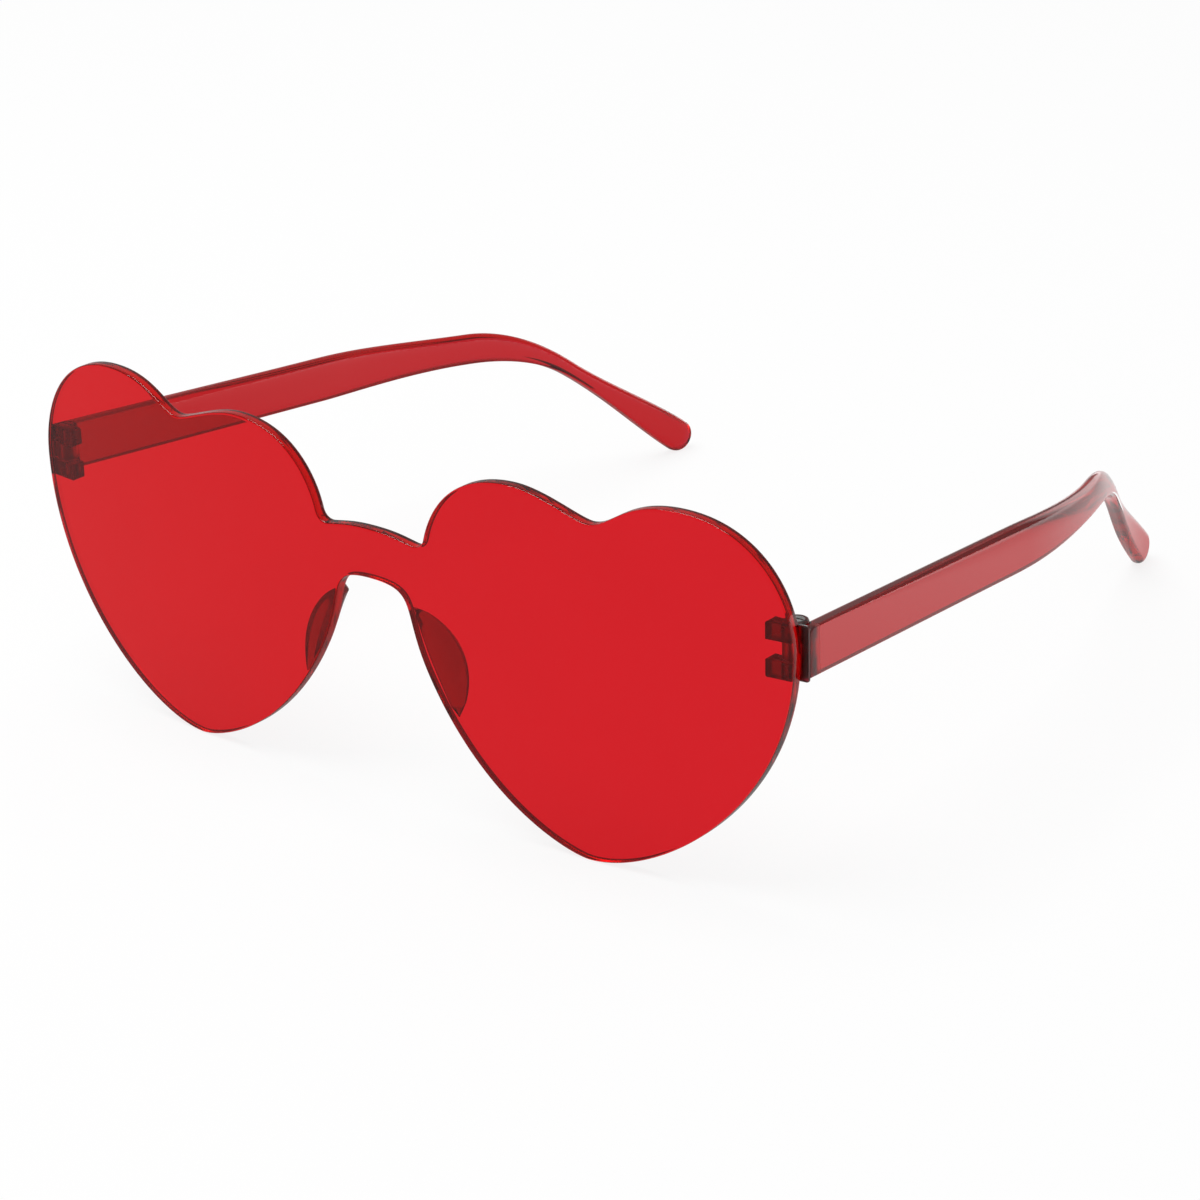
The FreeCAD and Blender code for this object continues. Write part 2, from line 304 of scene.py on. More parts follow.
class HingeSettings(bpy.types.PropertyGroup):
    """Sizes of the hinges."""

    height: metres("Height", "Height of the hinge's middle above the heart tips", 0.0391)
    block_height: metres("Block height", "Height of the block on the shield", 0.0084)
    edge_round: metres("Edge round", "Radius of the block's level edges", 0.00035)
    shoulder: metres("Shoulder", "How far the block reaches inwards of its ears", 0.0015)
    knuckle_radius: metres("Knuckle radius", "Radius of ears and tongue", 0.0017)
    tongue_height: metres("Tongue height", "Height of the temple's tongue", 0.0027)
    tongue_play: metres("Tongue play", "Play above and below the tongue", 0.00015)
    clearance: metres("Clearance", "Gap between ears and their recess", 0.00025)
    shield_gap: metres("Shield gap", "Gap between tongue and shield", 0.0003)
    butt_forward: metres("Butt place", "Butt face ahead of the hinge line", 0.0012)
    butt_gap: metres("Butt gap", "Gap between block and temple", 0.0001)
    screw_radius: metres("Screw radius", "Radius of the screw's shank", 0.0007)
    head_radius: metres("Head radius", "Radius of the screw's head", 0.00115)
    head_height: metres("Head height", "Height of the screw's head", 0.0007)
    slot_width: metres("Slot width", "Width and depth of the screw's slot", 0.00035)


class FinishSettings(bpy.types.PropertyGroup):
    """Colours of the plastic and the steel."""

    sheet_tint: shade("Sheet tint", "Colour left after the sheet's two faces", (0.672, 0.62, 0.64))
    # Painted shade: the near-black colour given to the rim's back edge
    painted_edge_shade: shade("Cut tint", "Colour of the sheet's cut edge at the back", (0.03, 0.015, 0.015))
    temple_tint: shade("Temple tint", "Colour left after a temple's two faces", (0.545, 0.5, 0.55))
    pad_tint: shade("Pad tint", "Colour left after a nose pad's two faces", (0.44, 0.36, 0.4))
    hinge_tint: shade("Hinge tint", "Colour left after two faces of a hinge block", (0.27, 0.22, 0.22))
    depth_tint: shade("Depth tint", "Colour that the depth of the sheet keeps", (0.9985, 0.0435, 0.22))
    temple_depth_tint: shade(
        "Temple depth tint", "Colour that the depth of the temples keeps", (0.987, 0.0435, 0.22)
    )
    density: figure("Density", "How fast the plastic absorbs light, per metre", 2300.0)
    temple_density: portion("Temple density", "Density of the temples over that of the shield", 0.85)
    pad_density: portion("Pad density", "Density of the nose pads over that of the shield", 1.8)
    hinge_density: portion("Hinge density", "Density of the hinge blocks over that of the shield", 2.2)
    refraction: figure("Refraction", "Refractive index of the plastic", 1.5)
    shield_gloss: portion("Shield gloss", "Share of the shield's mirror gloss that is kept", 0.65)
    cut_matt: portion("Cut matt", "Roughness of the sheet's cut edge at the back", 0.12)
    mould_matt: portion("Mould matt", "Roughness of plastic left as moulded", 0.35)
    matt_length: metres("Matt length", "Length of the matt zone at a temple's front", 0.0027)
    steel: shade("Steel", "Colour of the screws", (0.56, 0.55, 0.54))


class StageSettings(bpy.types.PropertyGroup):
    """Camera, floor and light."""

    azimuth: degrees("Azimuth", "Turn of the camera round the object", 39.1873)
    elevation: degrees("Elevation", "Height angle of the camera", 23.569)
    roll: degrees("Roll", "Turn of the picture", -2.5106)
    distance: metres("Distance", "Distance from the camera to its aim", 0.57852)
    aim: FloatVectorProperty(
        name="Aim",
        description="Point at the middle of the picture",
        default=(0.0, -0.0173216, 0.0125442),
        size=3,
        subtype="TRANSLATION",
    )
    lens: figure("Lens", "Focal length for a sensor 36 mm wide, in millimetres", 108.0)
    floor_size: metres("Floor size", "Radius of the floor", 4.0)
    shadow_share: portion("Shadow share", "Share of the floor's own shading that the camera sees", 0.16)
    room_light: figure("Room light", "Strength of the light from all round", 0.44)
    room_gloss: figure("Room in gloss", "Strength of the room in reflections", 0.336)
    backdrop_gloss: figure("Backdrop in gloss", "Strength of the lit backdrop behind, in reflections", 2.2)
    backdrop_way: FloatVectorProperty(
        name="Backdrop way",
        description="Direction of the lit backdrop's middle",
        default=(0.0, 0.995, 0.1),
        size=3,
        subtype="DIRECTION",
    )
    backdrop_edge: figures(
        "Backdrop edge",
        "Cosines of the angles at which the backdrop's light begins and is full",
        (0.925, 0.985),
    )
    backdrop_floor: metres_each(
        "Backdrop on floor",
        "Where the floor's reflection rises to the backdrop's, towards the back",
        (0.2, 0.4),
    )
    room_through: figures(
        "Room through plastic", "Strength of the room seen through plastic, level and overhead", (0.8, 0.28)
    )
    floor_gloss: figures(
        "Floor in gloss", "Strength of the floor in reflections, front left and back right", (0.3, 1.17)
    )
    floor_fade: metres_each(
        "Floor fade", "How far right and back the floor's reflection brightens", (0.096, 0.072)
    )
    floor_end: metres_each(
        "Floor end",
        "Where the floor seen through plastic begins and ends to dim, on the right",
        (0.06, 0.085),
    )
    floor_back: metres_each(
        "Floor back", "Where that dimming begins and is full, towards the back", (-0.06, 0.01)
    )
    floor_slant: figure("Floor slant", "How far that end moves left for each step back", 0.17)
    floor_dim: figure("Floor dim", "Strength of the dimmed floor seen through plastic", 0.12)
    softbox_power: figure("Softbox power", "Power of the overhead softbox in watts", 12.0)
    bounces: IntProperty(
        name="Bounces",
        description="How often light is followed from face to face inside the plastic",
        default=32,
    )


def lens_depth(x, radius, sheet):
    """Depth y of a face of the shield at x: base radius less the root of radius squared less x squared."""
    return sheet.base_radius - np.sqrt(radius ** 2 - x ** 2)


def back_depth(x, sheet):
    """Depth y of the shield's back face at x."""
    return lens_depth(x, sheet.base_radius - sheet.thickness, sheet)


def seat_depth(x, sheet):
    """Depth y at which a glued piece sits: the shield's back face plus the bond."""
    return back_depth(x, sheet) + BOND


def hinge_place(scene):
    """Hinge line in the upright frame.

    Its x comes from the record, its y is where a knuckle just clears the shield, and z has a setting.
    """
    sheet, hinge = scene.shades_shield, scene.shades_hinge
    x = HINGE_POINT[0]
    reach = sheet.base_radius - sheet.thickness - hinge.knuckle_radius - hinge.shield_gap
    return np.array((x, sheet.base_radius - math.sqrt(reach ** 2 - x ** 2), hinge.height))


def stand(points, scene):
    """Upright frame to the part's frame: y and z turn with the hinge line, about the record's hinge point."""
    place = hinge_place(scene)
    back, up = points[..., 1] - place[1], points[..., 2] - place[2]
    out = np.empty_like(points)
    out[..., 0] = points[..., 0]
    out[..., 1] = HINGE_POINT[1] + back * HINGE_LINE[2] + up * HINGE_LINE[1]
    out[..., 2] = HINGE_POINT[2] - back * HINGE_LINE[1] + up * HINGE_LINE[2]
    return out


def ring_faces(columns, ring):
    """Quads of a grid whose every column is a closed ring of points."""
    i = np.arange(columns - 1)[:, None] * ring
    j = np.arange(ring)[None, :]
    k = (j + 1) % ring
    return np.stack((i + j, i + k, i + ring + k, i + ring + j), -1).reshape(-1, 4)


def closed_mesh(name, grid, scene, side=1.0, capped=False, marks=None):
    """Mesh of a grid of rings in the upright frame, mirrored for the right side.

    Its ends are pinched shut or capped. Marks, one for each place round the ring, are kept as a point
    attribute for the material.
    """
    columns, ring = grid.shape[:2]
    points = stand(grid.reshape(-1, 3), scene) * np.array((side, 1.0, 1.0))
    faces = ring_faces(columns, ring).tolist()
    if capped:
        faces.append(list(range(ring)))
        faces.append(list(range((columns - 1) * ring, columns * ring)))
    mesh = bpy.data.meshes.new(name)
    mesh.from_pydata(points.tolist(), [], faces)
    if marks is not None:
        mesh.attributes.new(MATT_EDGE_SHADE, "FLOAT", "POINT").data.foreach_set("value", np.tile(marks, columns))
    work = bmesh.new()
    work.from_mesh(mesh)
    bmesh.ops.remove_doubles(work, verts=work.verts, dist=MERGE)
    bmesh.ops.dissolve_degenerate(work, edges=work.edges, dist=MERGE)
    bmesh.ops.recalc_face_normals(work, faces=work.faces)
    work.to_mesh(mesh)
    work.free()
    soften(mesh)
    return mesh


def soften(mesh):
    """Smooth shading, with edges sharper than the crease angle kept sharp."""
    mesh.polygons.foreach_set("use_smooth", np.ones(len(mesh.polygons), bool))
    mesh.set_sharp_from_angle(angle=CREASE)
    mesh.update()


def combined(mesh, tools):
    """The mesh after cutting away or adding tool meshes, given as pairs of operation and mesh."""
    base = bpy.data.objects.new(mesh.name, mesh)
    bpy.context.scene.collection.objects.link(base)
    helpers = []
    for operation, tool in tools:
        helper = bpy.data.objects.new(tool.name, tool)
        bpy.context.scene.collection.objects.link(helper)
        helpers.append(helper)
        step = base.modifiers.new(operation, "BOOLEAN")
        step.operation = operation
        step.solver = "EXACT"
        step.object = helper
    graph = bpy.context.evaluated_depsgraph_get()
    result = bpy.data.meshes.new_from_object(base.evaluated_get(graph))
    result.name = mesh.name
    for helper in helpers + [base]:
        bpy.data.objects.remove(helper)
    soften(result)
    return result


def put(name, mesh, material, body, node):
    """Adds a finished piece: its material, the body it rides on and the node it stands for."""
    piece = bpy.data.objects.new(name, mesh)
    bpy.context.scene.collection.objects.link(piece)
    mesh.materials.clear()
    mesh.materials.append(material)
    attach(piece, body)
    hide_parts(node)


def bezier(start, end, shares, count):
    """Cubic from one point to the next: handles lie along the two directions at shares of the chord."""
    first, last = np.array(start[:2]), np.array(end[:2])
    chord = np.linalg.norm(last - first)
    leave, arrive = np.radians(start[2]), np.radians(end[2])
    second = first + shares[0] * chord * np.array((np.cos(leave), np.sin(leave)))
    third = last - shares[1] * chord * np.array((np.cos(arrive), np.sin(arrive)))
    t = np.linspace(0.0, 1.0, count)[:, None]
    return (1 - t) ** 3 * first + 3 * t * (1 - t) ** 2 * second + 3 * t ** 2 * (1 - t) * third + t ** 3 * last


def heart_anchors():
    """All points of the outline; the bridge corner's arc touches both sides at radius times tan(turn / 2)."""
    before, after = BRIDGE_DIRECTIONS
    reach = BRIDGE_CORNER_RADIUS * math.tan(math.radians(after - before) / 2)
    ends = [BRIDGE_TOP]
    for angle, step in ((before, -reach), (after, reach)):
        x = BRIDGE_CORNER[0] + step * math.cos(math.radians(angle))
        z = BRIDGE_CORNER[1] + step * math.sin(math.radians(angle))
        ends.append((x, z, angle))
    return ends + list(HEART_POINTS)


def heart_chain(first, last):
    """Points of the outline's curves from one span to another, joined end to end."""
    anchors = heart_anchors()
    runs = []
    for i in range(first, last):
        run = bezier(anchors[i], anchors[i + 1], HEART_HANDLE_SHARES[i], CURVE_POINTS)
        runs.append(run if i == first else run[1:])
    return np.concatenate(runs)


def along(chain):
    """Length along a chain of points, from its first point."""
    return np.concatenate(((0.0,), np.cumsum(np.linalg.norm(np.diff(chain, axis=0), axis=1))))


def edge_normals(chain, side):
    """Unit normals of a chain that runs towards +x: tangents turned a quarter, up for side 1, down for -1."""
    tangent = np.gradient(chain, along(chain), axis=0)
    normal = np.stack((-tangent[:, 1], tangent[:, 0]), -1) * side
    return normal / np.linalg.norm(normal, axis=1, keepdims=True)


def at_x(chain, values, x):
    """Values of a chain's points, read where the chain passes the given x."""
    return np.stack([np.interp(x, chain[:, 0], column) for column in values.T], -1)


def rim_profile(sheet):
    """Inset from the outline and depth through the sheet, round a rim with quarter-round edges.

    On each face two margins, as multiples of the edge's radius, lead up to the round.
    """
    turn = np.linspace(0.0, math.pi / 2, RIM_STEPS)
    first, last = sheet.rim_round
    thickness = sheet.thickness
    wall = np.linspace(first, thickness - last, 4)[1:-1]
    margin = np.array(FACE_MARGINS)
    inset = (
        margin * first,
        first * (1 - np.sin(turn)),
        0.0 * wall,
        last * (1 - np.cos(turn)),
        margin[::-1] * last,
    )
    depth = (
        0.0 * margin,
        first * (1 - np.cos(turn)),
        wall,
        thickness - last * (1 - np.sin(turn)),
        thickness + 0.0 * margin,
    )
    return np.concatenate(inset), np.concatenate(depth)


def matt_and_shade_marks(sheet):
    """Marks round one ring of the shield: 1 where the cut edge meets the back face, 0 elsewhere; the marked
    edge is made matt and painted dark as shade.
    """
    inset, depth = rim_profile(sheet)
    on_rim = inset < SHADE_EDGE_REACH * sheet.rim_round[1]
    top, bottom = (on_rim & (depth > share * sheet.thickness) for share in sheet.shade_edge_from)
    face = np.zeros(FACE_ROWS - 2)
    return np.concatenate((face, top, face, bottom[::-1]))


def shield_grid(sheet):
    """Shield as closed rings side by side in x.

    Each ring runs up the front face, over the top rim, down the back face and round the bottom rim.
    A rim point is the outline less inset times its normal; its depth y lies between the front
    cylinder and the back cylinder. The faces are ruled between bottom rim and top rim.
    """
    stretch = np.array((sheet.width / (2 * heart_anchors()[TOP_SPANS][0]), 1.0))
    top = heart_chain(0, TOP_SPANS) * stretch
    bottom = heart_chain(TOP_SPANS, len(HEART_HANDLE_SHARES))[::-1] * stretch
    reach = along(top)
    share = np.linspace(0.0, 1.0, SHIELD_COLUMNS)
    x = np.interp(share * reach[-1], reach, top[:, 0])
    upper, upper_normal = at_x(top, top, x), at_x(top, edge_normals(top, 1.0), x)
    lower, lower_normal = at_x(bottom, bottom, x), at_x(bottom, edge_normals(bottom, -1.0), x)
    upper_normal[0], lower_normal[0] = (0.0, 1.0), (0.0, -1.0)
    upper_normal[-1] = lower_normal[-1] = (1.0, 0.0)
    upper_normal /= np.linalg.norm(upper_normal, axis=1, keepdims=True)
    lower_normal /= np.linalg.norm(lower_normal, axis=1, keepdims=True)
    inset, depth = rim_profile(sheet)
    top_rim = upper[:, None] - inset[None, :, None] * upper_normal[:, None]
    low_rim = lower[:, None] - inset[None, :, None] * lower_normal[:, None]
    rise = np.linspace(0.0, 1.0, FACE_ROWS)[None, 1:-1, None]
    front = low_rim[:, :1] + rise * (top_rim[:, :1] - low_rim[:, :1])
    back = top_rim[:, -1:] + rise * (low_rim[:, -1:] - top_rim[:, -1:])
    flat = np.concatenate((front, top_rim, back, low_rim[:, ::-1]), 1)
    behind = np.full(FACE_ROWS - 2, sheet.thickness)
    through = np.concatenate((np.zeros(FACE_ROWS - 2), depth, behind, depth[::-1]))
    half = np.empty(flat.shape[:2] + (3,))
    half[..., 0], half[..., 2] = flat[..., 0], flat[..., 1]
    face = lens_depth(half[..., 0], sheet.base_radius, sheet)
    part = through / sheet.thickness
    half[..., 1] = face + part * (back_depth(half[..., 0], sheet) - face)
    other = half[:0:-1] * np.array((-1.0, 1.0, 1.0))
    return np.concatenate((other, half), 0)


def eased(place, places, values):
    """Values at places, joined by the smooth step 3t2 - 2t3."""
    i = np.clip(np.searchsorted(places, place, side="right") - 1, 0, len(places) - 2)
    t = np.clip((place - places[i]) / (places[i + 1] - places[i]), 0.0, 1.0)
    return values[i] + (values[i + 1] - values[i]) * t * t * (3 - 2 * t)


def temple_line(arm, scene, place):
    """Middle line of a temple seen from the side: straight run, arc, straight tail; gives y, z and slope."""
    hinge = hinge_place(scene)
    start = temple_front(scene)
    bend_length = arm.bend_radius * arm.bend
    run = np.minimum(place, arm.straight)
    turned = np.clip((place - arm.straight) / bend_length, 0.0, 1.0) * arm.bend
    rest = np.maximum(place - arm.straight - bend_length, 0.0)
    slope = arm.drop + turned
    sine, cosine = math.sin(arm.drop), math.cos(arm.drop)
    y = start + run * cosine + arm.bend_radius * (np.sin(slope) - sine) + rest * np.cos(slope)
    z = hinge[2] - run * sine + arm.bend_radius * (np.cos(slope) - cosine) - rest * np.sin(slope)
    return y, z, slope


def temple_front(scene):
    """Depth y of the temple's front face."""
    hinge = scene.shades_hinge
    return hinge_place(scene)[1] - hinge.butt_forward + hinge.butt_gap


def temple_outer(scene):
    """Distance x of the temple's outer face at the hinge."""
    return scene.shades_shield.width / 2 + scene.shades_temple.overhang


def temple_plan(arm, scene, y):
    """Middle line of a temple in plan: x and inward turn at a depth y.

    A line, an arc inwards, a line, an arc outwards and a line follow each other. Along an arc of
    radius r the sine of the turn changes by the depth over r, and x by r times the change of the cosine.
    """
    radius = arm.curve_radius
    turns = np.array((arm.toe_in, arm.ear_toe_in, arm.tail_toe_in))
    sine, cosine, slope = np.sin(turns), np.cos(turns), np.tan(turns)
    first = temple_front(scene) + arm.curve_start * cosine[0]
    second = first + radius * (sine[1] - sine[0])
    third = second + arm.curve_gap * cosine[1]
    last = third + radius * (sine[1] - sine[2])
    inward = np.arcsin(sine[0] + np.clip((y - first) / radius, 0.0, sine[1] - sine[0]))
    outward = np.arcsin(sine[1] - np.clip((y - third) / radius, 0.0, sine[1] - sine[2]))
    x = temple_outer(scene) - arm.thickness / 2 - (np.minimum(y, first) - temple_front(scene)) * slope[0]
    x = x + radius * (np.cos(inward) - cosine[0]) - np.clip(y - second, 0.0, third - second) * slope[1]
    x = x - radius * (np.cos(outward) - cosine[1]) - np.maximum(y - last, 0.0) * slope[2]
    return x, np.where(y < third, inward, outward)


def temple_grid(arm, scene):
    """Temple as closed rings along its middle line.

    A ring is a rectangle with small rounds inside and rounds outside that grow towards the tail. Its
    corner points are inset by i from the temple's side outline and lie on a quarter ellipse: at half
    the thickness less c plus c times the root of s(2 - s), with c its width and s the inset over its
    height. Along the run a point with inset i stands at the half height less i.
    In the round tip, at a distance q from the end, it stands at the root of (r - i) squared less
    (r - q) squared.
    """
    length = arm.straight + arm.bend_radius * arm.bend + arm.tail
    radius, edge = arm.tip_radius, arm.corner_cut
    tip = length - radius * (1 - np.sin(np.linspace(0.0, math.pi / 2, TIP_RINGS)))
    start = np.concatenate(((0.0,), np.linspace(0.0, FRONT_ZONE, FRONT_RINGS)))
    place = np.concatenate((start, np.linspace(FRONT_ZONE, length - radius, RUN_RINGS)[1:-1], tip))
    bevel = np.zeros_like(place)
    bevel[:2] = np.array(FRONT_BEVELS) * edge
    place[1:3] = np.array(FRONT_BEVEL_PLACES) * edge
    places = np.append(np.array(HEIGHT_PLACE_SHARES) * length, length - radius)
    heights = np.append(np.array(arm.heights), 2 * radius)
    half = eased(place, places, heights) / 2
    upper = half - np.maximum(edge - place, 0.0)
    left = np.minimum(length - place, radius)[:, None]
    in_tip = (place > length - radius)[:, None]
    turn = np.linspace(0.0, math.pi / 2, EDGE_POINTS)

    def edge_points(wide, tall, height):
        """Places aside of and away from the middle line round one edge, from its level face to its wall."""
        wide, tall = np.broadcast_to(wide, place.shape)[:, None], np.broadcast_to(tall, place.shape)[:, None]
        inset = tall * (1 - np.cos(turn))
        inset = np.where(in_tip, np.minimum(inset, left), inset)
        part = inset / tall
        aside = arm.thickness / 2 - wide + wide * np.sqrt(part * (2 - part)) - bevel[:, None]
        corner = inset + bevel[:, None]
        tip_height = np.sqrt(np.maximum((radius - corner) ** 2 - (radius - left) ** 2, 0.0))
        return aside, np.where(in_tip, tip_height, height[:, None] - corner)

    wide, tall, under = (
        eased(place, places, np.array(sizes)) for sizes in (arm.upper_round, arm.upper_drop, arm.lower_round)
    )
    top_out, high_out = edge_points(wide, tall, upper)
    low_side, low_out = edge_points(under, under, half)
    tail = np.array((length - TIP_EASE * radius, length - radius))
    inner_top, inner_low = (eased(place, tail, np.array((size, arm.tip_round))) for size in arm.inner_round)
    top_in, high_in = edge_points(inner_top, inner_top, upper)
    low_turn, low_in = edge_points(inner_low, inner_low, half)
    share = np.linspace(0.0, 1.0, SIDE_POINTS)[None, 1:-1]

    def between(first, last):
        """Points evenly between two columns."""
        return first[:, None] + share * (last - first)[:, None]

    def ring(upper_out, upper_in, lower_in, lower_out):
        """One coordinate round the section: outer wall, top, inner wall, underside and the edges between."""
        return np.concatenate((
            between(lower_out[:, -1], upper_out[:, -1]), upper_out[:, ::-1],
            between(upper_out[:, 0], upper_in[:, 0]), upper_in,
            between(upper_in[:, -1], lower_in[:, -1]), lower_in[:, ::-1],
            between(lower_in[:, 0], lower_out[:, 0]), lower_out,
        ), 1)

    up = ring(high_out, high_in, -low_in, -low_out)
    out = ring(top_out, -top_in, -low_turn, low_side)
    y, z, slope = temple_line(arm, scene, place)
    lean = slope * np.clip(place / FRONT_ZONE, 0.0, 1.0)
    grid = np.empty(up.shape + (3,))
    grid[..., 1] = y[:, None] + up * np.sin(lean)[:, None]
    grid[..., 2] = z[:, None] + up * np.cos(lean)[:, None]
    x, turned = temple_plan(arm, scene, grid[..., 1])
    grid[..., 0] = x + out / np.cos(turned)
    return grid


def loop_normals(loop):
    """Outward unit normals of a closed anticlockwise loop of points."""
    tangent = np.roll(loop, -1, 0) - np.roll(loop, 1, 0)
    normal = np.stack((tangent[:, 1], -tangent[:, 0]), -1)
    return normal / np.linalg.norm(normal, axis=1, keepdims=True)


def upright_prism(loop, low, high, edge=0.0, seat=None):
    """Rings of a plan loop from low to high, drawn in by a quarter round at both level edges.

    With seat, the settings of a sheet, no point comes ahead of that sheet's back.
    """
    if edge:
        turn = np.linspace(0.0, math.pi / 2, 5)
        inset = np.concatenate((edge * (1 - np.sin(turn)), edge * (1 - np.sin(turn[::-1]))))
        level = np.concatenate((low + edge * (1 - np.cos(turn)), high - edge * (1 - np.cos(turn[::-1]))))
    else:
        inset, level = np.zeros(2), np.array((low, high))
    grid = np.empty((len(level), len(loop), 3))
    flat = loop[None] - inset[:, None, None] * loop_normals(loop)[None]
    if seat is not None:
        flat[..., 1] = np.maximum(flat[..., 1], seat_depth(flat[..., 0], seat))
    grid[..., :2] = flat
    grid[..., 2] = level[:, None]
    return grid


def arc(radius, centre, turn):
    """Points on a circle in plan at the given angles: centre plus radius times cosine and sine."""
    return np.stack((centre[0] + radius * np.cos(turn), centre[1] + radius * np.sin(turn)), -1)


def circle(radius, centre):
    """Anticlockwise loop of points on a circle in plan."""
    return arc(radius, centre, np.linspace(0.0, 2 * math.pi, CIRCLE_POINTS, endpoint=False))


def recess_loop(radius, centre, front):
    """Three quarters of a circle round the hinge line, with a straight mouth through the temple's front."""
    wall = arc(radius, centre, np.linspace(0.0, 1.5 * math.pi, 60))
    ahead = front - 2 * radius
    return np.concatenate((wall, ((centre[0], ahead), (centre[0] + radius, ahead))))


def tool(name, loop, low, high, scene, side):
    """A plain prism to cut or add."""
    return closed_mesh(name, upright_prism(loop, low, high), scene, side, capped=True)


def block_levels(scene):
    """Heights of the hinge block's underside and top."""
    middle, half = hinge_place(scene)[2], scene.shades_hinge.block_height / 2
    return middle - half, middle + half


def block_loop(scene):
    """Plan of the hinge block: ear round the hinge line, inner shoulder, shield's back and butt face."""
    sheet, hinge = scene.shades_shield, scene.shades_hinge
    place = hinge_place(scene)
    ear = hinge.knuckle_radius
    butt = place[1] - hinge.butt_forward
    outer = temple_outer(scene)
    knuckle = arc(ear, place, np.linspace(0.0, math.pi, ARC_POINTS))
    inner = place[0] - ear - hinge.shoulder
    step = np.stack((np.linspace(place[0] - ear, inner, 5)[1:], np.full(4, place[1])), -1)
    x = np.linspace(inner, outer, 20)
    seat = np.stack((x, seat_depth(x, sheet)), -1)
    flank = np.stack((np.full(3, inner), np.linspace(place[1], seat[0, 1], 5)[1:-1]), -1)
    butt_run = np.linspace(outer, place[0] + ear, 6)
    face = np.stack((butt_run, np.full_like(butt_run, butt)), -1)
    return np.concatenate((knuckle, step, flank, seat, face))


def tongue_loop(scene, root):
    """Plan of the temple's tongue: half a circle, its foot down to the temple's front, and its root."""
    hinge = scene.shades_hinge
    place, front = hinge_place(scene), temple_front(scene)
    radius = hinge.knuckle_radius
    nose = arc(radius, place, np.linspace(math.pi / 2, 1.5 * math.pi, ARC_POINTS))
    rest = math.acos((place[1] - front) / radius)
    toe = arc(radius, place, np.linspace(1.5 * math.pi, 1.5 * math.pi + rest, 12))
    return np.concatenate((nose, toe[1:], ((root, front + TONGUE_STEP), (root, place[1] + radius))))


def rounded_section(corners, share, count):
    """Closed ring per column: a corner becomes a parabola between the points a share along its two sides."""
    before = corners + share * (np.roll(corners, 1, 1) - corners)
    after = corners + share * (np.roll(corners, -1, 1) - corners)
    t = np.linspace(0.0, 1.0, count)[None, None, :, None]
    bend = (1 - t) ** 2 * before[:, :, None] + 2 * t * (1 - t) * corners[:, :, None]
    bend = bend + t ** 2 * after[:, :, None]
    return bend.reshape(len(corners), -1, corners.shape[-1])


def pad_grid(pad, scene):
    """Nose pad as closed rings along the flank of the heart.

    At a place p along its length the section has four corners: the inner edge on the shield, the crest
    of the flared face, the outer edge of the crown and the outer edge on the shield. The outer edge
    is the disc's arc, the crown is an arc along the length, and the flared face leans by the flare.
    """
    sheet = scene.shades_shield
    half = pad.length / 2
    disc = (half ** 2 + pad.bulge ** 2) / (2 * pad.bulge)
    crown = pad.depth - pad.end_depth
    crown_radius = (half ** 2 + crown ** 2) / (2 * crown)
    across = np.array((math.cos(pad.lean), math.sin(pad.lean)))
    down = np.array((math.sin(pad.lean), -math.cos(pad.lean)))
    middle = np.array(pad.middle)
    p = half * np.sin(np.linspace(-math.pi / 2, math.pi / 2, PAD_RINGS))
    outer = np.sqrt(disc ** 2 - p ** 2) - (disc - pad.bulge)
    deep = pad.depth - crown_radius + np.sqrt(crown_radius ** 2 - p ** 2)
    flank = heart_chain(TOP_SPANS + 1, len(HEART_HANDLE_SHARES))
    local = flank - middle
    order = np.argsort(local @ down)
    edge = np.interp(p, (local @ down)[order], (local @ across)[order])
    inner = np.minimum(np.maximum(edge + pad.inset, -pad.foot - PAD_SKIRT), outer)
    least = outer - PAD_CROWN_SHARE * (outer - inner)
    crest = np.clip(-pad.foot + deep * math.tan(pad.flare), inner, least)
    q = np.stack((inner, crest, outer, outer), 1)
    d = np.stack((0 * p, deep, deep, 0 * p), 1)
    ends = np.clip((1 - (p / half) ** 2) * PAD_END_TAPER, 0.0, 1.0)[:, None]
    d = d * np.sqrt(ends)
    q = outer[:, None] + (q - outer[:, None]) * np.sqrt(ends)
    shares = np.array(PAD_CORNER_SHARES)[None, :, None]
    ring = rounded_section(np.stack((q, d), -1), shares, PAD_CORNER_POINTS)
    flat = middle + p[:, None, None] * down + ring[..., :1] * across
    grid = np.empty(ring.shape[:2] + (3,))
    grid[..., 0], grid[..., 2] = flat[..., 0], flat[..., 1]
    grid[..., 1] = seat_depth(flat[..., 0], sheet) + ring[..., 1]
    return grid


def lathe(profile, centre):
    """Rings of a profile of radius and height turned about an upright line."""
    turn = np.linspace(0.0, 2 * math.pi, LATHE_POINTS, endpoint=False)
    grid = np.empty((len(profile), LATHE_POINTS, 3))
    grid[..., 0] = centre[0] + profile[:, :1] * np.cos(turn)
    grid[..., 1] = centre[1] + profile[:, :1] * np.sin(turn)
    grid[..., 2] = profile[:, 1:]
    return grid


